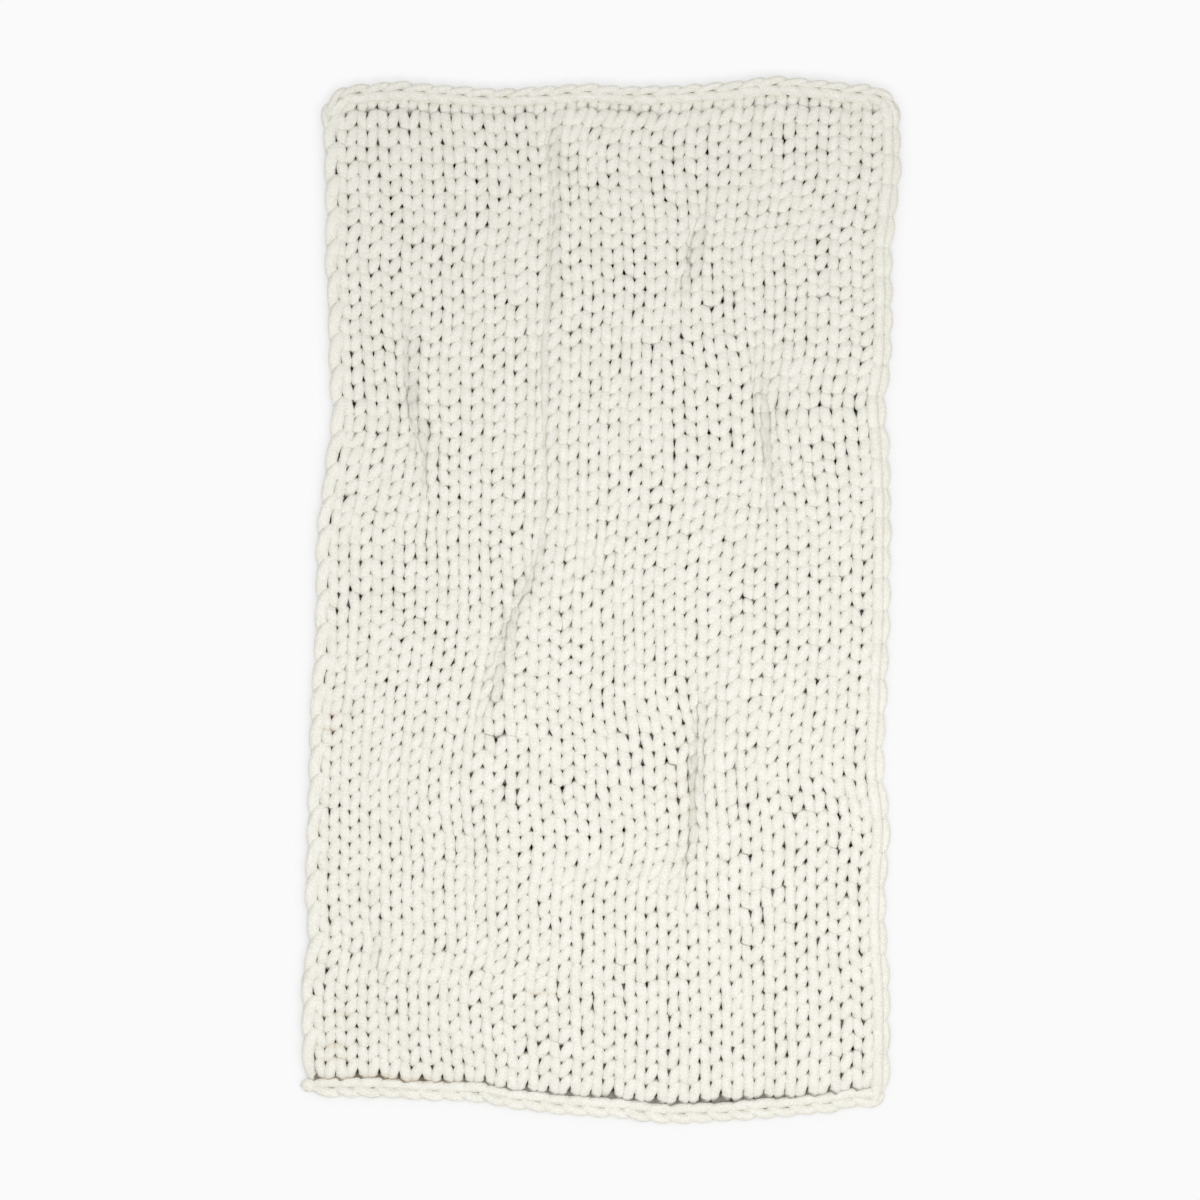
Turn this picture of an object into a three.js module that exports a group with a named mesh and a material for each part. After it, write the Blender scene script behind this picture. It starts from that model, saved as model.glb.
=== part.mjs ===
// A chunky hand-knit weighted blanket, spread out flat on the surface that it rests on.
//
// It is knitted from one thick tube yarn, so it is one piece: a thick soft sheet with a
// rounded rim, a bind-off braid along its upper edge, a cast-on chain below a crease along
// its lower edge, and a few soft ripples where the stitches bunch up.
//
// Millimetres. +Z is up, +X runs across the wales and +Y along them, towards the braid.

import * as THREE from "three";
import { mergeGeometries, mergeVertices } from "three/addons/utils/BufferGeometryUtils.js";

// The sheet.
const LENGTH = 1862; // from the cast-on chain to the braid
const WIDTH = 1072; // across the wales
const THICKNESS = 34; // two crossing strands of the yarn
const RIM_RADIUS = THICKNESS / 2; // the edge is as round as the yarn's own turns

// The grid that carries the relief. Rows crowd at the two ends, over the braid and chain.
const COLUMNS = 40;
const MIDDLE_ROWS = 50;
const END_ROWS = [0, 8, 16, 24, 32, 41, 52, 66]; // distances in from each end
const RIM_FACETS = 4; // round the edge, from the base to the top

// The two selvedges, from the middle line, up the length from its middle.
const SELVEDGES = [
  { y: -931, left: -533, right: 512 },
  { y: -840, left: -536, right: 513 },
  { y: -730, left: -538, right: 513 },
  { y: -660, left: -525, right: 508 },
  { y: -560, left: -530, right: 506 },
  { y: -450, left: -527, right: 514 },
  { y: -340, left: -523, right: 502 },
  { y: -220, left: -520, right: 508 },
  { y: -60, left: -512, right: 514 },
  { y: 110, left: -509, right: 516 },
  { y: 240, left: -496, right: 513 },
  { y: 335, left: -483, right: 506 },
  { y: 430, left: -487, right: 518 },
  { y: 550, left: -489, right: 519 },
  { y: 640, left: -495, right: 517 },
  { y: 710, left: -493, right: 526 },
  { y: 790, left: -497, right: 534 },
  { y: 931, left: -498, right: 530 },
];

// The two ends, across the width from its middle.
const ENDS = [
  { x: -536, bottom: -884, top: 915 },
  { x: -440, bottom: -884, top: 921 },
  { x: -350, bottom: -889, top: 914 },
  { x: -240, bottom: -892, top: 908 },
  { x: -140, bottom: -907, top: 912 },
  { x: -50, bottom: -916, top: 918 },
  { x: 40, bottom: -921, top: 912 },
  { x: 140, bottom: -931, top: 914 },
  { x: 230, bottom: -929, top: 920 },
  { x: 350, bottom: -921, top: 930 },
  { x: 440, bottom: -914, top: 924 },
  { x: 536, bottom: -896, top: 912 },
];

// How far the corners are rounded off.
const CORNER_RADIUS = { bottom: 24, top: 44 };

// Ridges and grooves that follow an end, at a distance in from it.
const END_BANDS = [
  { end: "top", distance: 20, width: 13, height: 4 }, // the bind-off braid
  { end: "top", distance: 42, width: 9, height: -6 }, // the dip under it
  { end: "bottom", distance: 14, width: 18, height: -7 }, // the cast-on chain lies lower
  { end: "bottom", distance: 38, width: 9, height: -12 }, // the crease above it
  { end: "bottom", distance: 62, width: 16, height: 4 }, // the first course rolls over it
];

// Ripples, each a soft ridge or, where its height is below zero, a groove along a line.
const RIPPLES = [
  { width: 32, height: 5, line: [[-60, 880], [-66, 700], [-72, 520], [-88, 130]] },
  { width: 26, height: 9, line: [[-321, 470], [-318, 370], [-297, 300], [-307, 230]] },
  { width: 24, height: 6, line: [[178, 670], [184, 610], [190, 550]] },
  { width: 28, height: 9, line: [[356, 400], [352, 300], [340, 200]] },
  { width: 24, height: -6, line: [[311, 400], [311, 290], [320, 190]] },
  { width: 30, height: 13, line: [[-60, 90], [-64, 25], [-80, -50]] },
  { width: 24, height: -7, line: [[-103, 64], [-137, 7], [-162, -44], [-172, -160]] },
  { width: 30, height: 14, line: [[228, -230], [228, -350], [214, -440]] },
  { width: 24, height: -8, line: [[188, -230], [176, -330], [172, -440]] },
  { width: 26, height: 5, line: [[-390, -590], [-376, -660]] },
  { width: 22, height: 5, line: [[-218, -370], [-214, -420]] },
];

/** One column of a table as a smooth curve along the table's first column. */
function tableCurve(table, along, column) {
  return (place) => {
    let i = 0;
    while (i < table.length - 2 && place > table[i + 1][along]) {
      i += 1;
    }
    const share = THREE.MathUtils.smoothstep(place, table[i][along], table[i + 1][along]);
    return THREE.MathUtils.lerp(table[i][column], table[i + 1][column], share);
  };
}

const leftEdge = tableCurve(SELVEDGES, "y", "left");
const rightEdge = tableCurve(SELVEDGES, "y", "right");
const bottomEdge = tableCurve(ENDS, "x", "bottom");
const topEdge = tableCurve(ENDS, "x", "top");

/** How far a side is drawn in near an end, to round the corner. */
function cornerInset(distance, radius) {
  const beyond = Math.max(radius - distance, 0);
  return radius - Math.sqrt(radius ** 2 - beyond ** 2);
}

/** The place in plan of a point of the upper face, given as shares across and along it. */
function planPoint(across, along) {
  const x = (across - 0.5) * WIDTH;
  const y = (along - 0.5) * LENGTH;
  const inset =
    RIM_RADIUS +
    cornerInset(along * LENGTH, CORNER_RADIUS.bottom) +
    cornerInset((1 - along) * LENGTH, CORNER_RADIUS.top);
  return new THREE.Vector3(
    THREE.MathUtils.lerp(leftEdge(y) + inset, rightEdge(y) - inset, across),
    THREE.MathUtils.lerp(bottomEdge(x) + RIM_RADIUS, topEdge(x) - RIM_RADIUS, along),
    0,
  );
}

/** A bell-shaped rise, nearly gone at twice its width. */
function bell(distance, { width, height }) {
  return height * Math.exp(-((distance / width) ** 2));
}

/** The distance from a point to a ripple's line. */
function distanceToLine(point, line) {
  const corners = line.map(([x, y]) => new THREE.Vector3(x, y, 0));
  const nearest = new THREE.Vector3();
  const distances = corners.slice(1).map((corner, i) => {
    new THREE.Line3(corners[i], corner).closestPointToPoint(point, true, nearest);
    return nearest.distanceTo(point);
  });
  return Math.min(...distances);
}

/** The upper face's height above the surface that the blanket rests on. */
function topHeight(across, along) {
  const point = planPoint(across, along);
  const fromEnd = {
    bottom: RIM_RADIUS + along * LENGTH,
    top: RIM_RADIUS + (1 - along) * LENGTH,
  };
  let height = THICKNESS;
  for (const band of END_BANDS) {
    height += bell(fromEnd[band.end] - band.distance, band);
  }
  for (const ripple of RIPPLES) {
    height += bell(distanceToLine(point, ripple.line), ripple);
  }
  return height;
}

/** The rows of the grid, as shares of the length. */
function rowPlaces() {
  const near = END_ROWS.map((distance) => distance / LENGTH);
  const first = near.at(-1);
  const step = (1 - 2 * first) / MIDDLE_ROWS;
  const middle = Array.from({ length: MIDDLE_ROWS - 1 }, (_, i) => first + (i + 1) * step);
  const far = near.map((share) => 1 - share).reverse();
  return [...near, ...middle, ...far];
}

/** The upper face: a plane's grid laid over the outline, with its relief. */
function upperFace(rows) {
  const face = new THREE.PlaneGeometry(1, 1, COLUMNS, rows.length - 1);
  const places = face.attributes.position;
  for (let i = 0; i < places.count; i += 1) {
    const across = (i % (COLUMNS + 1)) / COLUMNS;
    const along = rows[rows.length - 1 - Math.floor(i / (COLUMNS + 1))];
    const point = planPoint(across, along);
    places.setXYZ(i, point.x, point.y, topHeight(across, along));
  }
  return face;
}

/** The grid's border, counter-clockwise, as shares across and along the sheet. */
function border(rows) {
  const columns = Array.from({ length: COLUMNS + 1 }, (_, i) => i / COLUMNS);
  return [
    ...columns.slice(0, -1).map((across) => [across, 0]),
    ...rows.slice(0, -1).map((along) => [1, along]),
    ...columns.slice(1).reverse().map((across) => [across, 1]),
    ...rows.slice(1).reverse().map((along) => [0, along]),
  ];
}

/** The rounded rim: half a circle out from the upper face's border and back in to the base. */
function roundedRim(rows) {
  const edge = border(rows);
  const corners = edge.map((place) => planPoint(...place));
  const rim = new THREE.PlaneGeometry(1, 1, edge.length, RIM_FACETS);
  const places = rim.attributes.position;
  const up = new THREE.Vector3(0, 0, 1);
  for (let i = 0; i < places.count; i += 1) {
    const k = (i % (edge.length + 1)) % edge.length;
    const turn = (Math.PI * Math.floor(i / (edge.length + 1))) / RIM_FACETS;
    const before = corners.at(k - 1);
    const after = corners[(k + 1) % edge.length];
    const outward = after.clone().sub(before).normalize().cross(up);
    const place = corners[k].clone().addScaledVector(outward, RIM_RADIUS * Math.sin(turn));
    places.setXYZ(i, place.x, place.y, (topHeight(...edge[k]) * (1 + Math.cos(turn))) / 2);
  }
  return rim;
}

/** The flat base that the blanket rests on. */
function base(rows) {
  const outline = border(rows).map((place) => planPoint(...place));
  const face = new THREE.ShapeGeometry(new THREE.Shape(outline));
  face.index.array.reverse(); // it faces down
  return face;
}

/** The whole sheet as one closed body, standing at the middle of its base. */
function blanketGeometry() {
  const rows = rowPlaces();
  const faces = [upperFace(rows), roundedRim(rows), base(rows)];
  for (const face of faces) {
    face.deleteAttribute("normal");
    face.deleteAttribute("uv");
  }
  const body = mergeVertices(mergeGeometries(faces), 0.01);
  body.computeBoundingBox();
  const middle = body.boundingBox.getCenter(new THREE.Vector3());
  body.translate(-middle.x, -middle.y, -body.boundingBox.min.z);
  body.computeVertexNormals();
  return body;
}

const yarn = new THREE.MeshStandardMaterial({ color: 0xf2efe3, roughness: 0.95, metalness: 0 });
const blanket = new THREE.Mesh(blanketGeometry(), yarn);
blanket.name = "knitted_blanket";

const part = new THREE.Group();
part.add(blanket);

export default part;
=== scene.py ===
"""A chunky hand-knit weighted blanket, spread out flat. Metres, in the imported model's frame."""

import math

import bpy
import numpy as np
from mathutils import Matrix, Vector
from mathutils.bvhtree import BVHTree


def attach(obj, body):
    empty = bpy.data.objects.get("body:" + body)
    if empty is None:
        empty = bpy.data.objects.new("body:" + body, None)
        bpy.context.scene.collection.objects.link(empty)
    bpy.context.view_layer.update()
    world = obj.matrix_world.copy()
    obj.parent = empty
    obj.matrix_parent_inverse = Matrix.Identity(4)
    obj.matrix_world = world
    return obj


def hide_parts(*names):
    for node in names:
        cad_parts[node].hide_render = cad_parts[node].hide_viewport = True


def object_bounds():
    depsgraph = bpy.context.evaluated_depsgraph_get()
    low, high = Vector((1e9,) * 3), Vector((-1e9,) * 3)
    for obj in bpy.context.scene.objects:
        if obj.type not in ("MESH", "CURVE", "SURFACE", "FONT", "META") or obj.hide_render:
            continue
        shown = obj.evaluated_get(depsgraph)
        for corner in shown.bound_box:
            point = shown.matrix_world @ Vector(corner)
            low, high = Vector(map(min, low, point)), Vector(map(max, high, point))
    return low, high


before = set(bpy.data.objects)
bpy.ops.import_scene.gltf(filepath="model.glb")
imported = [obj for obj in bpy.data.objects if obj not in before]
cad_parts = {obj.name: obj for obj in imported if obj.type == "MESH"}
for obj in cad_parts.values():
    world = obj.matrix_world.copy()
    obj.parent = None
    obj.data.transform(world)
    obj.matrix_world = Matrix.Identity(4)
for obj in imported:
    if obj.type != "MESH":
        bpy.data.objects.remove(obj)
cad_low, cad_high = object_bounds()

# ---------------------------------------------------------------------------------------
# The knitted cloth. One thick tube of cotton jersey, stuffed with fibre, is knitted by hand
# in stockinette: 61 courses of 26 wales, with a slipped stitch at each end of the rows. It
# lies on its purl side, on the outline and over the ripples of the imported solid.

WALES = 26
COURSES = 61
WALE = 0.0375  # width of a plain stitch
COURSE = 0.0285  # height of a plain stitch
YARN_WIDTH = 0.0200  # across the yarn in the plane of the cloth
YARN_DEPTH = 0.0174  # across it through the cloth
YARN_SQUASH = 0.58  # below 1, the yarn is pressed from round towards square
CLOTH_DEPTH = 0.034  # of the solid, away from its ripples

# One stitch is a loop: its two legs lie on the face, its head and foot at the back.
LOOP_REACH = 0.0182  # half the height of the loop
LOOP_SWAY = 0.0064  # how far its legs lean into a V
LOOP_DEPTH = 0.0080  # half the way from the back to the face
LOOP_FLAT = 0.0013  # how much the legs are flattened on the face

# The selvedge stitches, out from the last full wale to the edge.
SELVEDGE_LEFT = 0.0240
SELVEDGE_RIGHT = 0.0290
CHAIN_WIDTH = 0.036  # of the cast-on and the bind-off, next to the courses

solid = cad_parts["knitted_blanket"]
solid_tree = BVHTree.FromObject(solid, bpy.context.evaluated_depsgraph_get())
RIM_HEIGHT = 0.0165  # where the solid's rounded rim stands out furthest
RIM_IN = 0.022  # how far in from its edge its top is level
CAST_ON_BAND, BIND_OFF_BAND = 0.10, 0.08  # how far in its raised ends reach
CORNER_REACH = 0.095  # how far the outline's slant and round corners reach in from its box
RIM_PLACES = 240  # along each side


def rim_curve(axis, side):
    """The solid's edge on one side, between its corners, as a curve along the other axis."""
    low, high = cad_low[1 - axis], cad_high[1 - axis]
    places, edges = [], []
    for place in np.linspace(low + CORNER_REACH, high - CORNER_REACH, RIM_PLACES):
        start = Vector((0, 0, RIM_HEIGHT))
        start[1 - axis] = place
        start[axis] = 2 * side  # well outside the solid
        ray = Vector((0, 0, 0))
        ray[axis] = -side
        hit = solid_tree.ray_cast(start, ray)[0]
        if hit is not None:
            places.append(place)
            edges.append(hit[axis])
    return lambda place: np.interp(place, places, edges)


left_edge, right_edge = rim_curve(0, -1), rim_curve(0, 1)
bottom_edge, top_edge = rim_curve(1, -1), rim_curve(1, 1)


def blend(a, b, share):
    return a + (b - a) * share


def solid_lift(x, y):
    """How far the solid's ripples raise the cloth at a place, away from its end bands."""
    x = min(max(x, left_edge(y) + RIM_IN), right_edge(y) - RIM_IN)
    y = min(max(y, bottom_edge(x) + CAST_ON_BAND), top_edge(x) - BIND_OFF_BAND)
    hit = solid_tree.ray_cast(Vector((x, y, 1)), Vector((0, 0, -1)))[0]
    return hit.z - CLOTH_DEPTH


# The lay: where each share across and along the cloth lies in plan, and how high. Stitches
# crowd where the cloth climbs over a ripple, because they keep their width on its slopes.
LAY_COLUMNS, LAY_ROWS = 181, 301
LOW_BEND, HIGH_BEND = 0.35, 0.15  # how far into the cloth its uneven ends bend the courses
CROWDING = 1.6  # how much closer the stitches lie on a slope than its length makes them
MIDDLE, MIDDLE_PLACES = 0.4, 50  # how far to each side an end's mean place is taken
SETTLING_ROUNDS = 4  # a row's places depend on the sides there, and the sides on the places

lay_across = np.linspace(0, 1, LAY_COLUMNS)
lay_along = np.linspace(0, 1, LAY_ROWS)
plain_x, plain_y, crowding = np.zeros((3, LAY_ROWS, LAY_COLUMNS))
middle_xs = np.linspace(-MIDDLE, MIDDLE, MIDDLE_PLACES)
bottom_line, top_line = bottom_edge(middle_xs).mean(), top_edge(middle_xs).mean()
for row, along in enumerate(lay_along):
    level = blend(bottom_line + CHAIN_WIDTH, top_line - CHAIN_WIDTH, along)
    ys = np.full(LAY_COLUMNS, level)
    for _ in range(SETTLING_ROUNDS):
        xs = blend(left_edge(ys), right_edge(ys), lay_across)
        low_bend = (bottom_edge(xs) - bottom_line) * math.exp((bottom_line - level) / LOW_BEND)
        high_bend = (top_edge(xs) - top_line) * math.exp((level - top_line) / HIGH_BEND)
        ys = level + low_bend + high_bend
    plain_x[row], plain_y[row] = xs, ys
    climb = np.gradient([solid_lift(x, y) for x, y in zip(xs, ys)], xs)
    crowding[row] = np.hypot(1, CROWDING * climb)

# The crowding starts and ends gently along the columns.
EASE_ROWS = 12
ease = np.hanning(2 * EASE_ROWS + 1) / np.hanning(2 * EASE_ROWS + 1).sum()
padded = np.pad(crowding, ((EASE_ROWS, EASE_ROWS), (0, 0)), mode="edge")
crowding = sum(share * padded[i : i + LAY_ROWS] for i, share in enumerate(ease))

lay = np.zeros((LAY_ROWS, LAY_COLUMNS, 3))
for row in range(LAY_ROWS):
    length = np.concatenate([[0], np.cumsum(crowding[row, 1:])])
    lay[row, :, 0] = np.interp(lay_across, length / length[-1], plain_x[row])
    lay[row, :, 1] = np.interp(lay[row, :, 0], plain_x[row], plain_y[row])
    lay[row, :, 2] = [solid_lift(x, y) for x, y in lay[row, :, :2]]


def soft_waves(seed, waves, count=7):
    """A smooth seeded field between about -1 and 1, with up to so many waves each way."""
    dice = np.random.default_rng(seed)
    turns = dice.uniform(-1, 1, (count, 2)) * waves
    starts = dice.uniform(0, 2 * math.pi, count)
    return lambda across, along: sum(
        np.sin(2 * math.pi * (turn[0] * across + turn[1] * along) + start)
        for turn, start in zip(turns, starts)
    ) / math.sqrt(count)


wander_across = soft_waves(3, (4, 7))
wander_along = soft_waves(5, (5, 5))
WANDER_ACROSS, WANDER_ALONG = 0.0021, 0.0022  # shares of the cloth's width and length
STRETCH = 0.045  # how much taller the first courses are than the middle ones, as a share

FIRST_COURSE = 0.59  # from the cast-on to the middle of the first course, in courses
LAST_COURSE = 0.90  # from the middle of the last one to the bind-off

# Where the cloth was pulled about as it was laid out: the middle of each pull in x and y,
# its reach across and along, and how far it shifts the cloth.
PULLS_ACROSS = [
    (-0.25, 0.23, 0.14, 0.11, 0.004),
    (0.10, 0.33, 0.11, 0.11, -0.010),
    (0.20, 0.45, 0.13, 0.12, -0.007),
    (-0.30, -0.33, 0.13, 0.11, -0.016),
    (0.16, 0.04, 0.13, 0.13, -0.008),
    (0.06, 0.82, 0.13, 0.13, -0.014),
    (0.38, 0.60, 0.20, 0.40, -0.010),
    (-0.10, -0.30, 0.16, 0.16, -0.009),
    (-0.20, -0.74, 0.12, 0.11, -0.010),
    (0.16, -0.09, 0.13, 0.12, -0.008),
    (-0.24, -0.13, 0.20, 0.15, -0.007),
    (-0.22, 0.40, 0.22, 0.20, -0.006),
    (0.06, 0.84, 0.20, 0.10, -0.010),
]
PULLS_ALONG = [
    (-0.43, 0.40, 0.13, 0.23, -0.018),
    (-0.25, 0.60, 0.11, 0.13, -0.022),
    (-0.24, 0.25, 0.14, 0.20, -0.022),
    (-0.09, 0.15, 0.09, 0.20, -0.018),
    (-0.08, -0.13, 0.12, 0.16, -0.020),
    (-0.43, -0.05, 0.15, 0.25, -0.017),
    (-0.05, 0.52, 0.10, 0.22, 0.004),
    (0.09, -0.33, 0.09, 0.13, -0.008),
    (0.47, 0.05, 0.13, 0.33, 0.036),
    (0.27, -0.03, 0.10, 0.25, 0.025),
    (0.35, 0.48, 0.10, 0.18, 0.019),
    (0.38, -0.45, 0.15, 0.18, 0.016),
    (-0.23, -0.38, 0.15, 0.20, -0.017),
    (-0.40, 0.80, 0.15, 0.10, -0.010),
    (-0.06, -0.56, 0.11, 0.14, -0.010),
    (0.45, 0.78, 0.15, 0.16, 0.012),
    (0.42, -0.22, 0.16, 0.13, 0.012),
    (-0.18, 0.52, 0.14, 0.18, -0.010),
    (0.42, 0.42, 0.14, 0.16, 0.009),
    (-0.02, -0.43, 0.14, 0.20, -0.008),
    (0.06, 0.17, 0.10, 0.12, -0.006),
    (0.14, 0.53, 0.10, 0.14, 0.007),
]
# The creases that took up cloth: where each starts and ends in x and y, how wide its left
# and its right flank are, the reach of the pull towards it, how much cloth it took up, how
# high it stands, and how deep the groove on its left is.
CREASES = [
    (0.196, -0.20, 0.172, -0.47, 0.012, 0.045, 0.22, 0.024, 0.014, 0.009),
    (0.222, -0.18, 0.208, -0.27, 0.008, 0.010, 0.05, 0.006, 0.006, 0.005),
    (-0.095, 0.085, -0.178, -0.18, 0.012, 0.045, 0.26, 0.022, 0.013, 0.009),
    (-0.122, 0.060, -0.200, -0.16, 0.008, 0.009, 0.06, 0.008, 0.008, 0.006),
    (0.302, 0.42, 0.318, 0.17, 0.009, 0.014, 0.18, 0.028, 0.013, 0.010),
    (0.335, 0.36, 0.345, 0.25, 0.010, 0.020, 0.08, 0.008, 0.006, 0.005),
    (-0.334, 0.46, -0.322, 0.33, 0.009, 0.010, 0.14, 0.016, 0.011, 0.009),
    (-0.314, 0.40, -0.296, 0.23, 0.009, 0.014, 0.14, 0.020, 0.012, 0.010),
    (0.196, 0.66, 0.168, 0.55, 0.009, 0.016, 0.14, 0.020, 0.012, 0.010),
    (-0.062, 0.87, -0.062, 0.62, 0.010, 0.016, 0.30, 0.022, 0.009, 0.006),
    (-0.070, 0.60, -0.088, 0.13, 0.010, 0.014, 0.30, 0.016, 0.007, 0.005),
    (-0.390, -0.58, -0.376, -0.67, 0.010, 0.015, 0.10, 0.010, 0.008, 0.006),
    (-0.215, -0.36, -0.212, -0.43, 0.010, 0.014, 0.10, 0.010, 0.008, 0.006),
]
# Slits that were pulled open: where each lies in x and y, how far around it, and how much
# wider. The last ones, below 0, are slits that lie closer than the stitches around them.
OPENINGS = [
    (0.206, -0.330, 0.012, 0.85),
    (0.207, -0.360, 0.012, 0.95),
    (0.205, -0.388, 0.012, 0.35),
    (0.332, 0.333, 0.012, 0.80),
    (-0.482, -0.220, 0.014, 0.35),
    (-0.486, -0.192, 0.010, 0.20),
    (-0.464, -0.234, 0.010, 0.20),
    (-0.486, -0.656, 0.013, 0.38),
    (-0.482, -0.570, 0.012, 0.10),
    (-0.150, 0.020, 0.010, 0.20),
    (0.465, -0.628, 0.012, 0.35),
    (0.469, -0.748, 0.012, 0.30),
    (-0.068, -0.792, 0.012, 0.20),
    (0.132, 0.268, 0.012, -0.25),
    (0.128, -0.291, 0.012, -0.25),
    (0.253, 0.380, 0.012, -0.20),
    (-0.066, -0.335, 0.012, -0.20),
    (0.455, 0.335, 0.012, -0.20),
    (-0.436, 0.349, 0.012, -0.15),
    (0.146, 0.467, 0.012, -0.15),
    (0.450, -0.797, 0.012, -0.15),
]
CREASE_BEND = 0.004  # how far a crease sways to and fro
BEND_TURN = 7  # radians of that sway from its start to its end
BEND_SHIFT = 50  # makes creases at other places sway in other ways
CREASE_FADE = 0.04  # the length over which a crease starts and ends
GROOVE_AT = 1.6  # where the groove lies, in left flanks to the left of the crease's line
GROOVE_REACH = 0.008
PINCH = 0.012  # the cloth is taken up within this of the groove
SHADE_AT, SHADE_REACH = 1.3, 0.007  # the groove's side that gets painted shade, likewise
DEEP_GROOVE = 0.009  # a groove this deep gets the painted shade in full
BULGE_AT, BULGE_REACH = 0.9, 0.6  # the swelling on the crease's right, in right flanks
BULGE_FILL = 9  # how much wider the yarn is there for each metre that the crease stands up
LIGHT_REACH = 0.025  # how far from a crease light comes into the cloth and lessens the painted shade
OPENING_NARROWS = 0.3  # how much narrower the yarn lies for each 1 that an opening is wider
END_HOLD, SIDE_HOLD = 0.06, 0.03  # the ends and sides hold their places this far in


def from_crease(line, x, y):
    """How far places are to the right of a crease's line, and how much of it reaches them."""
    from_x, from_y, to_x, to_y = line
    share = (y - from_y) / (to_y - from_y)
    length = abs(to_y - from_y)
    starts = 1 + np.exp(-share * length / CREASE_FADE)
    ends = 1 + np.exp((share - 1) * length / CREASE_FADE)
    bend = CREASE_BEND * np.sin(BEND_TURN * share + BEND_SHIFT * from_x)
    return x - blend(from_x, to_x, share) - bend, 1 / (starts * ends)


def falloff(place, reach):
    """How much of something at place 0 is felt at a place: 1 there, and little past its reach."""
    return np.exp(-((place / reach) ** 2))


def filled(x, y):
    """How much wider the yarn lies by the creases or narrower at openings, how near the
    creases are, and how much painted shade their grooves get."""
    extra, near, groove_shade = np.zeros((3, len(x)))
    for *line, left, right, reach, taken, rise, groove in CREASES:
        off, fade = from_crease(line, x, y)
        extra += BULGE_FILL * rise * falloff(off / right - BULGE_AT, BULGE_REACH) * fade
        near = np.maximum(near, falloff(off + left, LIGHT_REACH) * fade)
        # painted shade beside each crease, stronger for a deeper groove
        groove_shade += groove / DEEP_GROOVE * falloff(off + SHADE_AT * left, SHADE_REACH) * fade
    for at_x, at_y, reach, wider in OPENINGS:
        extra -= OPENING_NARROWS * wider * falloff(np.hypot(x - at_x, y - at_y), reach)
    return extra, near, groove_shade


def pulled(x, y):
    """How far the pulls and creases shift the cloth in plan, and how much they lift it."""
    shift_x, shift_y, lift = np.zeros((3, len(x)))
    for pulls, shift in ((PULLS_ACROSS, shift_x), (PULLS_ALONG, shift_y)):
        for at_x, at_y, reach_x, reach_y, far in pulls:
            shift += far * falloff(x - at_x, reach_x) * falloff(y - at_y, reach_y)
    for *line, left, right, reach, taken, rise, groove in CREASES:
        off, fade = from_crease(line, x, y)
        from_groove = off + GROOVE_AT * left
        shift_x -= taken / 2 * np.tanh(from_groove / PINCH) * falloff(off, reach) * fade
        lift += rise * falloff(off, np.where(off < 0, left, right)) * fade
        lift -= groove * falloff(from_groove, GROOVE_REACH) * fade
    for at_x, at_y, reach, wider in OPENINGS:
        near = wider * falloff(np.hypot(x - at_x, y - at_y), reach)
        shift_x += near * (x - at_x)
        shift_y += near * (y - at_y)
    ends = np.minimum(y - bottom_edge(x), top_edge(x) - y) - CHAIN_WIDTH
    sides = np.minimum(x - left_edge(y), right_edge(y) - x)
    hold = 1 - np.exp(-np.maximum(ends, 0) / END_HOLD)
    shift_x *= hold * (1 - np.exp(-np.maximum(sides, 0) / SIDE_HOLD))
    return shift_x, shift_y * hold, lift * hold


# The round corners: on which side in x and in y each lies, and its radius.
CORNERS = [(-1, 1, 0.085), (1, 1, 0.055), (-1, -1, 0.045), (1, -1, 0.045)]
ROUND_LEAST = 0.3  # keeps the rounding within bounds for places beyond the edge


def lie(wale, course):
    """Places in plan and heights for points of the cloth, given in wales and courses."""
    first, last = 1 - SELVEDGE_LEFT / WALE, 1 + WALES + SELVEDGE_RIGHT / WALE
    across = np.clip((wale - first) / (last - first), 0, 1)
    along = (course + FIRST_COURSE) / (COURSES - 1 + FIRST_COURSE + LAST_COURSE)
    along = along + STRETCH * along * (1 - along)
    side = np.sqrt(np.clip(np.sin(math.pi * across), 0, 1))
    across = across + side * WANDER_ACROSS * wander_across(across, along)
    along = along + WANDER_ALONG * wander_along(across, along)
    column = np.clip(across, 0, 1) * (LAY_COLUMNS - 1)
    row = np.clip(along, 0, 1) * (LAY_ROWS - 1)
    i = np.minimum(column.astype(int), LAY_COLUMNS - 2)
    j = np.minimum(row.astype(int), LAY_ROWS - 2)
    u, v = (column - i)[:, None], (row - j)[:, None]
    place = blend(blend(lay[j, i], lay[j, i + 1], u), blend(lay[j + 1, i], lay[j + 1, i + 1], u), v)
    shift_x, shift_y, lift = pulled(place[:, 0], place[:, 1])
    place += np.stack([shift_x, shift_y, lift], axis=1)
    beyond = along - np.clip(along, 0, 1)
    place[:, 1] += beyond * (cad_high.y - cad_low.y)
    for side_x, side_y, radius in CORNERS:
        edge_x = (left_edge if side_x < 0 else right_edge)(place[:, 1])
        edge_y = (bottom_edge if side_y < 0 else top_edge)(place[:, 0])
        out_x = 1 - (edge_x - place[:, 0]) * side_x / radius
        out_y = 1 - (edge_y - place[:, 1]) * side_y / radius
        near = (out_x > 0) & (out_y > 0)
        round_x = out_x * np.sqrt(np.maximum(1 - out_y**2 / 2, ROUND_LEAST))
        round_y = out_y * np.sqrt(np.maximum(1 - out_x**2 / 2, ROUND_LEAST))
        place[near, 0] += (side_x * radius * (round_x - out_x))[near]
        place[near, 1] += (side_y * radius * (round_y - out_y))[near]
    return place


LUMPINESS = 0.05  # how much the stuffing makes the yarn's width vary
LUMP_LENGTH = 0.035
STEPS = 20  # points along one stitch
YARN_SIDES = 12

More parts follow.
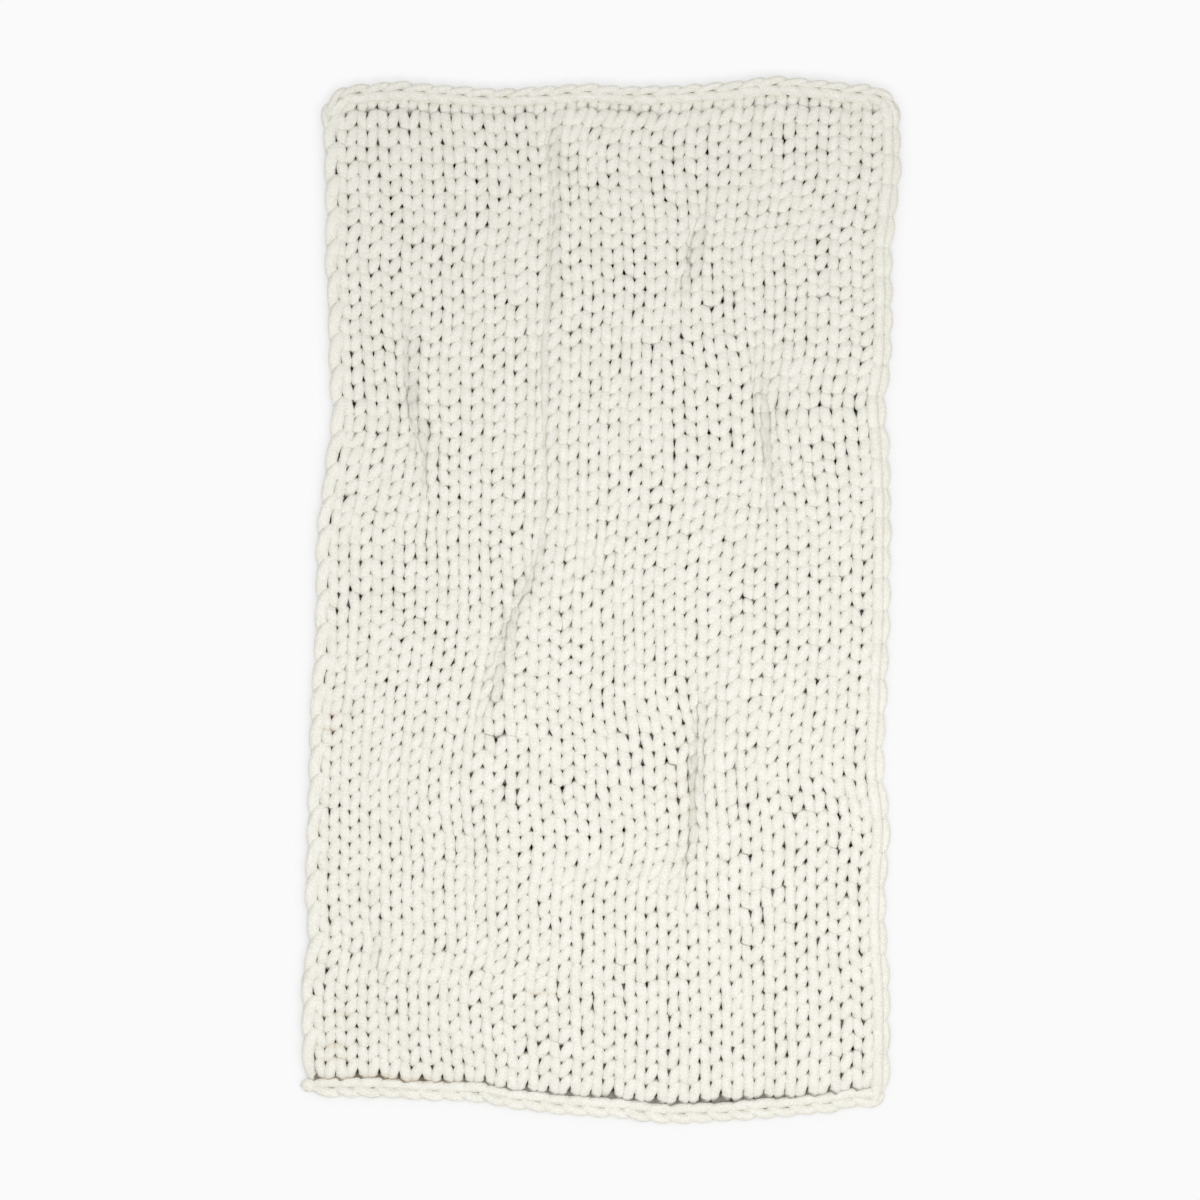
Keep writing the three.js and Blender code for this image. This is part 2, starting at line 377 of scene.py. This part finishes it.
# How unevenly it is knitted by hand: how far the loops stray across, along and in depth, by
# what share the sway of their legs varies, and by how much their reach does.
stitch_dice = np.random.default_rng(11)
UNEVEN = 2 * WALES + 3
uneven = {
    "across": stitch_dice.normal(0, 0.0013, (COURSES + 2, UNEVEN)),
    "along": stitch_dice.normal(0, 0.0015, (COURSES + 2, UNEVEN)),
    "depth": stitch_dice.normal(0, 0.0009, (COURSES + 2, UNEVEN)),
    "sway": stitch_dice.normal(0, 0.13, (COURSES + 2, UNEVEN)),
    "reach": stitch_dice.normal(0, 0.0014, (COURSES + 2, UNEVEN)),
}
lean_field = soft_waves(23, (5, 6))
ease_field = soft_waves(29, (4, 5))
LEAN = 0.0022  # how far the head of a loop lies to the right of its foot
LEAN_VARIES = 0.0014
LEAN_ALONG = 0.6  # how much further the loops lean than their column does
EASE_VARIES = 0.06  # how much the sway of the legs varies over the cloth
CAST_ON_FOOT = 0.25  # this share of a foot's reach is left at the loops out of the cast-on
TUCK = 0.0055  # how deep the last loops are tucked below the bind-off
TUCK_HEADS = 0.0035  # how much deeper their heads go, and their feet less deep
TOP_COURSE = COURSES + 0.2  # the bind-off closes the courses here


def course_points(course):
    """One course from left to right: its loops in wales, courses and depth."""
    wale = np.linspace(1, 1 + WALES, WALES * STEPS + 1)
    turn = 2 * math.pi * (wale - 0.5)
    nodes = np.linspace(0.5, 1.5 + WALES, UNEVEN)
    odd = {name: np.interp(wale, nodes, values[course]) for name, values in uneven.items()}
    across, along = wale / (WALES + 2), np.full_like(wale, course / COURSES)
    above, below = (lie(wale, np.full_like(wale, course + step)) for step in (0.5, -0.5))
    slant = (above[:, 0] - below[:, 0]) / COURSE
    lean = LEAN + LEAN_VARIES * lean_field(across, along) + LEAN_ALONG * LOOP_REACH * slant
    ease = 1 + EASE_VARIES * ease_field(across, along)
    sway = LOOP_SWAY * ease * (1 + odd["sway"]) * np.sin(2 * turn)
    reach = LOOP_REACH + odd["reach"]
    depth = -LOOP_DEPTH * np.cos(2 * turn) - LOOP_FLAT * np.cos(4 * turn) + odd["depth"]
    if course < 0:
        depth = 0 * depth - LOOP_DEPTH
        reach = reach * np.where(np.cos(turn) < 0, CAST_ON_FOOT, 1)
    elif course == COURSES:
        depth = depth - TUCK - TUCK_HEADS * np.cos(turn)
    return np.stack([
        wale + (sway + lean * np.cos(turn) + odd["across"]) / WALE,
        course + (reach * np.cos(turn) + odd["along"]) / COURSE,
        depth,
    ], axis=1)


# A selvedge stitch spans two courses and lies on its side, so that the edge is a chain of
# them. For the left (-1) and the right (1) edge: how far out from the last full wale, how far
# up from its course in courses, and the height above the middle of the cloth.
SELVEDGE_STITCHES = {
    -1: [
        [0.0050, -0.30, -0.0060],
        [0.0080, 0.05, -0.0010],
        [0.0108, 0.60, 0.0050],
        [0.0098, 1.20, 0.0080],
        [0.0060, 1.75, 0.0090],
        [0.0008, 2.15, 0.0080],
        [-0.0020, 2.40, 0.0020],
        [0.0020, 2.30, -0.0055],
        [0.0085, 1.70, -0.0080],
        [0.0105, 1.10, -0.0080],
        [0.0070, 0.45, -0.0060],
        [0.0005, 0.20, -0.0070],
    ],
    1: [
        [0.0050, -0.30, -0.0060],
        [0.0070, 0.20, 0.0000],
        [0.0078, 0.85, 0.0068],
        [0.0078, 1.45, 0.0085],
        [0.0078, 2.00, 0.0070],
        [0.0100, 2.36, 0.0000],
        [0.0155, 2.30, -0.0045],
        [0.0205, 1.80, -0.0020],
        [0.0212, 1.10, -0.0005],
        [0.0140, 0.35, -0.0050],
        [0.0010, 0.20, -0.0070],
    ],
}
SELVEDGE_STEPS = 4  # points between two of those
SELVEDGE_TALL = 2.4  # how far up one of them reaches, in courses


def smooth_line(corners, steps):
    """A smooth line through all but the first and last corner, which only steer it."""
    a, b, c, d = corners[:-3], corners[1:-2], corners[2:-1], corners[3:]
    points = []
    for share in np.arange(steps) / steps:
        points.append(0.5 * (
            2 * b + (c - a) * share + (2 * a - 5 * b + 4 * c - d) * share**2
            + (3 * b - a - 3 * c + d) * share**3
        ))
    return np.concatenate([np.stack(points, axis=1).reshape(-1, corners.shape[1]), c[-1:]])


def selvedge_points(course, side):
    """The stitch that joins a course to the next one, at the left (-1) or right (1) edge."""
    seam = 1 if side < 0 else 1 + WALES
    taller = min(1, (TOP_COURSE - course) / SELVEDGE_TALL)  # the last end below the bind-off
    return np.array([
        [seam + side * out / WALE, course + taller * up, depth]
        for out, up, depth in SELVEDGE_STITCHES[side]
    ])


def band_points(first, last):
    """The yarn of a band of courses, worked to and fro."""
    runs = []
    for course in range(first, last + 1):
        side = -1 if course % 2 == 0 else 1
        run = course_points(course)[::side]
        runs.append(run)
        if course < COURSES:
            following = course_points(course + 1)[::-side]
            steer = np.vstack([run[-2:], selvedge_points(course, side), following[:2]])
            line = smooth_line(steer, SELVEDGE_STEPS)[1:]
            runs.append(line if course == last else line[:-1])
    return np.vstack(runs)


def yarn_tube(name, points, up, width, depth, spread, seed, painted_shade, sides=YARN_SIDES):
    """A closed tube of yarn along a line of points in metres, with a map in metres.

    It is turned with the cloth's slope, and pressed flatter where the spread is above 1. Its
    places get painted shade from a function, from 0 to 1, for how little light reaches them."""
    steps = np.linalg.norm(np.diff(points, axis=0), axis=1)
    along = np.concatenate([[0], np.cumsum(steps)])
    lumps = np.random.default_rng(seed).normal(0, 1, int(along[-1] / LUMP_LENGTH) + 3)
    plump = 1 + LUMPINESS * np.interp(along / LUMP_LENGTH, np.arange(len(lumps)), lumps)
    ahead = np.gradient(points, axis=0)
    ahead /= np.linalg.norm(ahead, axis=1)[:, None]
    beside = np.cross(up, ahead)
    beside /= np.linalg.norm(beside, axis=1)[:, None]
    above = np.cross(ahead, beside)
    angle = np.linspace(0, 2 * math.pi, sides, endpoint=False) + math.pi / sides
    wide = np.sign(np.cos(angle)) * np.abs(np.cos(angle)) ** YARN_SQUASH * width / 2
    deep = np.sign(np.sin(angle)) * np.abs(np.sin(angle)) ** YARN_SQUASH * depth / 2
    rings = (
        points[:, None]
        + (plump * spread)[:, None, None] * wide[None, :, None] * beside[:, None]
        + (plump / np.sqrt(spread))[:, None, None] * deep[None, :, None] * above[:, None]
    )
    count = len(points)
    index = np.arange(count * sides).reshape(count, sides)
    turned = np.roll(index, -1, axis=1)
    quads = np.stack([index[:-1], turned[:-1], turned[1:], index[1:]], axis=-1).reshape(-1, 4)
    faces = [*quads.tolist(), index[0][::-1].tolist(), index[-1].tolist()]
    mesh = bpy.data.meshes.new(name)
    mesh.from_pydata(rings.reshape(-1, 3).tolist(), [], faces)
    mesh.shade_smooth()
    marks = mesh.attributes.new("painted_shade", "FLOAT", "POINT")
    marks.data.foreach_set("value", painted_shade(rings).astype(np.float32).reshape(-1))
    around = np.arange(sides + 1) / sides * math.pi * (width + depth) / 2
    corner_u = np.stack([around[:-1], around[1:], around[1:], around[:-1]], axis=-1)
    corner_v = np.stack([along[:-1], along[:-1], along[1:], along[1:]], axis=-1)
    uv = np.zeros((len(mesh.loops), 2), np.float32)
    uv[: len(quads) * 4, 0] = np.tile(corner_u.reshape(1, -1), (count - 1, 1)).reshape(-1)
    uv[: len(quads) * 4, 1] = np.repeat(corner_v, sides, axis=0).reshape(-1)
    mesh.uv_layers.new(name="yarn").data.foreach_set("uv", uv.reshape(-1))
    tube = bpy.data.objects.new(name, mesh)
    bpy.context.scene.collection.objects.link(tube)
    return tube


def from_hex(colour):
    """The linear colour of an sRGB hex value."""
    parts = [int(colour[i : i + 2], 16) / 255 for i in (1, 3, 5)]
    return [p / 12.92 if p <= 0.04045 else ((p + 0.055) / 1.055) ** 2.4 for p in parts] + [1.0]


def add_node(tree, kind, settings=(), **links):
    """Adds a node with its settings, and links or sets its inputs by name."""
    node = tree.nodes.new(kind)
    for key, value in dict(settings).items():
        setattr(node, key, value)
    for key, value in links.items():
        socket = node.inputs[int(key[1:]) if key[1:].isdigit() else key.replace("_", " ")]
        if isinstance(value, bpy.types.NodeSocket):
            tree.links.new(value, socket)
        else:
            socket.default_value = value
    return node


def cotton_jersey():
    """Washed cotton jersey: matt, softly fuzzy, with fine ribs along the tube.

    The fuzz and the small crumples break up the light on each leg. The real ribs and fuzz are
    under a millimetre wide, so they are drawn about 3 mm apart to show at all. Deep in the
    cloth the yarn's colour is darkened as painted shade, because little light comes in there,
    and a few seams are faintly stained.
    A pattern's scale is how often it repeats in a metre: 130 is each 8 mm, 28 each 36 mm."""
    material = bpy.data.materials.new("washed_cotton_jersey")
    material.use_nodes = True
    tree = material.node_tree
    shader = tree.nodes["Principled BSDF"]
    place = add_node(tree, "ShaderNodeNewGeometry").outputs["Position"]
    grain_map = add_node(tree, "ShaderNodeUVMap", {"uv_map": "yarn"}).outputs["UV"]
    # The map is shrunk along the yarn, so that the grain there is drawn out into ribs.
    along_yarn = add_node(
        tree, "ShaderNodeVectorMath", {"operation": "MULTIPLY"}, _0=grain_map, _1=(1.0, 0.22, 1.0)
    ).outputs[0]
    ribs = add_node(
        tree, "ShaderNodeTexNoise", {"noise_dimensions": "2D"},
        Vector=along_yarn, Scale=330.0, Detail=2.0, Roughness=0.6,
    ).outputs[0]
    crumple = add_node(
        tree, "ShaderNodeTexNoise", Vector=place, Scale=130.0, Detail=3.0, Roughness=0.6
    ).outputs[0]
    relief = add_node(
        tree, "ShaderNodeMix", {"data_type": "FLOAT"}, _0=0.4, _2=ribs, _3=crumple
    ).outputs[0]
    bumps = add_node(tree, "ShaderNodeBump", Strength=1.0, Distance=0.0034, Height=relief)
    tree.links.new(bumps.outputs[0], shader.inputs["Normal"])
    grain = add_node(
        tree, "ShaderNodeTexNoise", Vector=place, Scale=320.0, Detail=2.0, Roughness=0.6
    ).outputs[0]
    fuzz = add_node(
        tree, "ShaderNodeMapRange", _0=grain, _1=0.36, _2=0.64, _3=0.88, _4=1.0
    ).outputs[0]
    painted_shade = add_node(tree, "ShaderNodeAttribute", {"attribute_name": "painted_shade"}).outputs["Fac"]
    patches = add_node(tree, "ShaderNodeTexNoise", Vector=place, Scale=28.0, Detail=2.0)
    worn_share = add_node(
        tree, "ShaderNodeMapRange", _0=patches.outputs[0], _1=0.40, _2=0.62, _3=0.0, _4=1.0
    ).outputs[0]
    worn = add_node(
        tree, "ShaderNodeMix", {"data_type": "RGBA"},
        _0=worn_share, _6=from_hex("#FBF9EF"), _7=from_hex("#F7F5EA"),
    )
    # painted shade: where the cloth is marked deep, its colour is mixed towards near black
    cloth = add_node(
        tree, "ShaderNodeMix", {"data_type": "RGBA"},
        _0=painted_shade, _6=worn.outputs[2], _7=from_hex("#211D16"),
    )
    stain = add_node(tree, "ShaderNodeAttribute", {"attribute_name": "stain"}).outputs["Fac"]
    stained = add_node(
        tree, "ShaderNodeMix", {"data_type": "RGBA", "blend_type": "MULTIPLY"},
        _0=stain, _6=cloth.outputs[2], _7=from_hex("#D9B58C"),
    )
    colour = add_node(
        tree, "ShaderNodeMix", {"data_type": "RGBA", "blend_type": "MULTIPLY"},
        _0=1.0, _6=stained.outputs[2], _7=fuzz,
    )
    tree.links.new(colour.outputs[2], shader.inputs["Base Color"])
    shader.inputs["Roughness"].default_value = 0.95
    shader.inputs["Specular IOR Level"].default_value = 0.2
    return material


cotton = cotton_jersey()
BANDS = 5  # pieces that the courses are made in
SPREADING = 0.8  # how far the yarn fills a wider stitch, from 0 to 1
ROOM_LEAST, ROOM_MOST = 0.55, 1.2  # the least and the most room that the yarn answers to
SELVEDGE_IN = 0.3  # this share of the first and last wale has a selvedge's room
SELVEDGE_PLUMP = 1.15  # how much wider the yarn of the left selvedge lies
# Painted shade deep in the cloth, where little light comes in: where it starts and ends
# below the face, and how softly.
INSIDE_TOP, INSIDE_BOTTOM, INSIDE_SOFT = 0.0086, 0.0265, 0.0024
FOLD_SHADE = 0.10  # how much of that painted shade the grooves beside the creases get
CREASE_OPENS = 0.85  # how much of it is gone where a crease opens the cloth to the light
CAST_ON_TOP, CAST_ON_SHADE = 0.1, 0.7  # it is weaker below this course, down to this share
# Faint brownish stains in the seams: where each lies in x and y, its reach across and along,
# and how strong it is.
STAINS = [
    (-0.480, -0.222, 0.014, 0.020, 0.5),
    (-0.462, -0.720, 0.018, 0.030, 0.25),
    (-0.400, -0.856, 0.140, 0.012, 0.7),
    (-0.470, -0.800, 0.025, 0.030, 0.35),
    (-0.102, -0.705, 0.030, 0.020, 0.25),
    (0.138, -0.330, 0.025, 0.050, 0.25),
]
STAIN_TOP, STAIN_SOFT = 0.003, 0.006  # how far below the face they start, and how softly

band_ends = np.linspace(-1, COURSES + 1, BANDS + 1).round().astype(int)
for number, (first, end) in enumerate(zip(band_ends[:-1], band_ends[1:]), start=1):
    points = band_points(first, end - 1)
    places = lie(points[:, 0], points[:, 1])
    face = places[:, 2] + CLOTH_DEPTH
    places[:, 2] = np.maximum(face - CLOTH_DEPTH / 2 + points[:, 2], YARN_DEPTH / 2)
    in_wales = points[:, 0] - 1
    face[(in_wales < 0) | (in_wales > WALES)] = 0  # the selvedges are open to the light
    beside = lie(points[:, 0] + 0.5, points[:, 1]) - lie(points[:, 0] - 0.5, points[:, 1])
    onward = lie(points[:, 0], points[:, 1] + 0.5) - lie(points[:, 0], points[:, 1] - 0.5)
    up = np.cross(beside, onward)
    room = np.clip(beside[:, 0] / WALE, ROOM_LEAST, ROOM_MOST)
    room[(in_wales < SELVEDGE_IN) | (in_wales > WALES - SELVEDGE_IN)] = 1
    room[in_wales < 0] = SELVEDGE_PLUMP
    spread = np.where(room < 1, np.sqrt(room), room**SPREADING)
    extra, near, groove_shade = filled(places[:, 0], places[:, 1])
    spread = spread * (1 + extra)
    # share of the painted shade kept: less near creases and at the cast-on, none on the last heads
    shade_kept = 1 - CREASE_OPENS * near
    shade_kept *= np.clip(TOP_COURSE - points[:, 1], 0, 1)  # the last heads show from behind
    shade_kept *= np.clip(1 + points[:, 1] - CAST_ON_TOP, CAST_ON_SHADE, 1)

    # painted shade: darker the deeper the yarn lies below the face, and in the creases' grooves
    def shade_in_cloth(rings):
        sunk = face[:, None] - rings[..., 2]
        below = np.clip((sunk - INSIDE_TOP) / INSIDE_SOFT, 0, 1)
        below = shade_kept[:, None] * below * np.clip((INSIDE_BOTTOM - sunk) / INSIDE_SOFT, 0, 1)
        return below + FOLD_SHADE * groove_shade[:, None] * (sunk < INSIDE_BOTTOM)

    name, seed = f"knit_courses_{number}", 60 + number
    band = yarn_tube(name, places, up, YARN_WIDTH, YARN_DEPTH, spread, seed, shade_in_cloth)
    corners = np.zeros(len(band.data.vertices) * 3)
    band.data.vertices.foreach_get("co", corners)
    corners = corners.reshape(len(places), -1, 3)
    stain = np.zeros(corners.shape[:2])
    for at_x, at_y, reach_x, reach_y, strength in STAINS:
        beside_it = falloff(corners[..., 0] - at_x, reach_x)
        stain += strength * beside_it * falloff(corners[..., 1] - at_y, reach_y)
    stain *= np.clip((face[:, None] - corners[..., 2] - STAIN_TOP) / STAIN_SOFT, 0, 1)
    marks = band.data.attributes.new("stain", "FLOAT", "POINT")
    marks.data.foreach_set("value", stain.astype(np.float32).reshape(-1))
    band.data.materials.append(cotton)
    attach(band, "root")
    if number == 1:
        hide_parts("knitted_blanket")

# ---------------------------------------------------------------------------------------
# The cast-on and the bind-off: the same yarn, worked as a chain of loops along each end, one
# loop to a wale. The bind-off turns both top corners and ends a little way down each side.

# One loop of a chain: how far along it in loops, how far to its left, how far up, and how
# wide the yarn lies. It comes out of the loop before, and its arms widen into a V that points
# back.
CAST_ON_LOOP = [
    [-0.10, 0.0000, -0.0060, 0.90],
    [0.15, 0.0050, 0.0010, 1.05],
    [0.50, 0.0082, 0.0058, 1.10],
    [0.90, 0.0092, 0.0055, 1.10],
    [1.20, 0.0086, 0.0010, 1.00],
    [1.36, 0.0040, -0.0060, 0.95],
    [1.30, -0.0040, -0.0080, 0.95],
    [1.12, -0.0088, -0.0020, 0.95],
    [0.80, -0.0096, 0.0035, 1.05],
    [0.38, -0.0062, 0.0045, 1.05],
    [0.08, -0.0022, 0.0000, 0.98],
    [-0.10, 0.0000, -0.0060, 0.90],
    [0.40, 0.0000, -0.0100, 0.90],
]
BIND_OFF_LOOP = [
    [-0.10, 0.0000, -0.0065, 0.85],
    [0.18, 0.0012, 0.0005, 0.82],
    [0.50, 0.0048, 0.0060, 0.82],
    [0.90, 0.0084, 0.0078, 0.82],
    [1.22, 0.0100, 0.0050, 0.82],
    [1.42, 0.0075, -0.0040, 0.85],
    [1.40, 0.0000, -0.0100, 0.95],
    [1.40, -0.0062, -0.0050, 1.00],
    [1.18, -0.0086, 0.0035, 1.05],
    [0.85, -0.0078, 0.0075, 1.08],
    [0.45, -0.0056, 0.0065, 1.05],
    [0.14, -0.0022, 0.0010, 1.00],
    [-0.10, 0.0000, -0.0065, 0.95],
    [0.40, 0.0000, -0.0105, 0.90],
]
# The end of the yarn before the first loop: plump at the cast-on, tucked in at the bind-off.
CAST_ON_START = [
    [-0.48, 0.0000, -0.0030, 1.10],
    [-0.36, 0.0030, 0.0015, 1.40],
    [-0.20, 0.0020, 0.0010, 1.40],
    [-0.12, 0.0000, -0.0050, 1.05],
]
BIND_OFF_START = [
    [-0.45, -0.0060, -0.0060, 0.90],
    [-0.30, -0.0030, -0.0020, 0.95],
    [-0.16, -0.0010, -0.0030, 0.90],
]
CHAIN_STEPS = 4  # points between two of those
CHAIN_YARN = 0.0170  # thinner than in the courses, because it is pulled tighter
CHAIN_START = 0.42  # how far in along its line a chain starts, in loops
CHAIN_SHORT = 0.75  # how much shorter than its line it is, in loops
LOOP_VARIES, LOOP_SIZE_VARIES = 0.03, 0.05  # in loops, and as a share
# Painted shade in the middle between a loop's arms: how far down it is painted dark in full,
# how far beside the chain's middle, and how far from the chain's ends it starts, in loops.
CORE_DEEP, CORE_WIDE, CORE_FROM_END = 0.004, 0.005, 0.9


def chain_along(name, path, start, loop_shape, tilt, seed):
    """A chain of loops on a line of places in plan and mid heights, tilted down to its left."""
    dice = np.random.default_rng(seed)
    steps = np.linalg.norm(np.diff(path, axis=0), axis=1)
    along = np.concatenate([[0], np.cumsum(steps)])
    loops = int(round(along[-1] / WALE))
    corners = np.array(loop_shape)
    line = [*start]
    for loop in range(loops):
        shifted = corners + [loop + dice.normal(0, LOOP_VARIES), 0, 0, 0]
        shifted[:, 1:3] *= 1 + dice.normal(0, LOOP_SIZE_VARIES)
        shifted[:, 2] -= tilt * shifted[:, 1]
        line.extend(shifted.tolist())
    line = smooth_line(np.array([line[0], *line, line[-1]]), CHAIN_STEPS)
    line[:, 0] = CHAIN_START + line[:, 0] * (loops - CHAIN_SHORT) / loops
    reach = np.clip(line[:, 0], 0, loops) / loops * along[-1]
    centre = np.stack([np.interp(reach, along, path[:, axis]) for axis in range(3)], axis=1)
    ahead = np.gradient(path, axis=0)
    ahead = np.stack([np.interp(reach, along, ahead[:, axis]) for axis in range(2)], axis=1)
    ahead /= np.linalg.norm(ahead, axis=1)[:, None]
    left = np.stack([-ahead[:, 1], ahead[:, 0]], axis=1)
    over = (line[:, 0] * along[-1] / loops - reach)[:, None]
    places = centre.copy()
    places[:, :2] += left * line[:, 1:2] + ahead * over
    places[:, 2] = np.maximum(places[:, 2] + line[:, 2], CHAIN_YARN / 2)

    # painted shade where the yarn lies low between the arms, away from the chain's ends
    def shade_in_chain(rings):
        sunk = centre[:, None, 2] - rings[..., 2]
        aside = ((rings[..., :2] - centre[:, None, :2]) * left[:, None]).sum(axis=2)
        from_end = np.minimum(line[:, 0], loops - line[:, 0])[:, None]
        core = np.clip(sunk / CORE_DEEP, 0, 1) * np.clip(2 - np.abs(aside) / CORE_WIDE, 0, 1)
        return core * np.clip(from_end - CORE_FROM_END, 0, 1)

    size, up = CHAIN_YARN, [0, 0, 1]
    chain = yarn_tube(name, places, up, size, size, line[:, 3], seed + 1, shade_in_chain)
    chain.data.materials.append(cotton)
    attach(chain, "root")


CAST_ON_IN, BIND_OFF_IN = 0.0150, 0.0155  # from the edge to the middle of each chain
CAST_ON_HEIGHT, BIND_OFF_HEIGHT = 0.0120, 0.0195  # from the floor to that
CAST_ON_LEFT, CAST_ON_RIGHT = 0.012, 0.014  # how far the cast-on's line stays from the sides
TOP_LEFT, TOP_RIGHT = -0.432, 0.472  # the bind-off's run along the top, between its turns
PATH_PLACES, TURN_STEPS = 120, 3

start_x = cad_low.x + CAST_ON_LEFT
end_x = float(right_edge(cad_low.y)) - CAST_ON_RIGHT
xs = np.linspace(start_x, end_x, PATH_PLACES)
heights = np.full_like(xs, CAST_ON_HEIGHT)
path = np.stack([xs, bottom_edge(xs) + CAST_ON_IN, heights], axis=1)
chain_along("cast_on_chain", path, CAST_ON_START, CAST_ON_LOOP, tilt=0.16, seed=41)

xs = np.linspace(TOP_LEFT, TOP_RIGHT, PATH_PLACES)
top_run = np.column_stack([xs, top_edge(xs) - BIND_OFF_IN, np.full_like(xs, BIND_OFF_HEIGHT)])
# The places at which it turns each top corner, in plan, and how high they are.
left_corner = np.array([
    [-0.4765, 0.806, 0.0110],
    [-0.4785, 0.835, 0.0160],
    [-0.4795, 0.860, 0.0190],
    [-0.4694, 0.881, 0.0200],
    [-0.4540, 0.895, 0.0200],
])
right_corner = np.array([
    [0.4880, 0.8970, 0.0200],
    [0.5020, 0.8900, 0.0205],
    [0.5110, 0.8780, 0.0205],
    [0.5150, 0.8640, 0.0190],
    [0.5160, 0.8500, 0.0170],
])
path = np.vstack([left_corner[:1], left_corner, top_run, right_corner, right_corner[-1:]])
path = smooth_line(path, TURN_STEPS)
chain_along("bind_off_chain", path, BIND_OFF_START, BIND_OFF_LOOP, tilt=0.0, seed=43)

# ---------------------------------------------------------------------------------------
# The floor: seamless white studio paper, rolled out flat. It shows as plain white, apart from
# the blanket's faint soft shade where little of the sky reaches it, close to the edges.

bpy.ops.mesh.primitive_plane_add(size=16, location=(0, 0, -0.001))
floor = bpy.context.object
floor.name = "floor"
paper = bpy.data.materials.new("white_paper")
paper.use_nodes = True
tree = paper.node_tree
tree.nodes["Principled BSDF"].inputs["Base Color"].default_value = from_hex("#F5F5F5")
tree.nodes["Principled BSDF"].inputs["Roughness"].default_value = 1.0
glow = add_node(tree, "ShaderNodeEmission", Color=from_hex("#FAFAFA"), Strength=1.0)
seen = add_node(tree, "ShaderNodeLightPath")
open_sky = add_node(tree, "ShaderNodeAmbientOcclusion", Distance=0.03)
share = add_node(
    tree, "ShaderNodeMath", {"operation": "MULTIPLY"},
    _0=seen.outputs["Is Camera Ray"], _1=open_sky.outputs["AO"],
)
mix = add_node(
    tree, "ShaderNodeMixShader",
    _0=share.outputs[0], _1=tree.nodes["Principled BSDF"].outputs[0], _2=glow.outputs[0],
)
tree.links.new(mix.outputs[0], tree.nodes["Material Output"].inputs["Surface"])
floor.data.materials.append(paper)

# ---------------------------------------------------------------------------------------
# The studio: even white light from all around, one large soft lamp overhead a little to the
# lower right, and the camera straight above.

world = bpy.data.worlds.new("studio")
bpy.context.scene.world = world
world.use_nodes = True
sky = world.node_tree.nodes["Background"]
sky.inputs["Color"].default_value = (1, 1, 1, 1)
SKY_LIGHT, SKY_SEEN = 0.75, 0.955  # as light on the blanket, and beyond the floor's edge
seen = add_node(world.node_tree, "ShaderNodeLightPath").outputs["Is Camera Ray"]
strength = add_node(
    world.node_tree, "ShaderNodeMapRange", _0=seen, _1=0.0, _2=1.0, _3=SKY_LIGHT, _4=SKY_SEEN
).outputs[0]
world.node_tree.links.new(strength, sky.inputs["Strength"])

lamp = bpy.data.lights.new("softbox", "AREA")
lamp.energy = 16.7
lamp.size = 1.2
softbox = bpy.data.objects.new("softbox", lamp)
softbox.location = (0.28, -0.52, 2.2)
softbox.rotation_euler = (math.radians(5), math.radians(7), 0)
bpy.context.scene.collection.objects.link(softbox)

LENS, SENSOR = 100, 36  # in mm
VIEW_WIDTH, FACE_HEIGHT = 2.131, 0.03  # how much the view spans, at this height
camera_data = bpy.data.cameras.new("camera")
camera_data.lens, camera_data.sensor_width = LENS, SENSOR
camera = bpy.data.objects.new("camera", camera_data)
camera.location = (0, 0, VIEW_WIDTH * LENS / SENSOR + FACE_HEIGHT)
bpy.context.scene.collection.objects.link(camera)
bpy.context.scene.camera = camera
bpy.context.scene.view_settings.view_transform = "Standard"
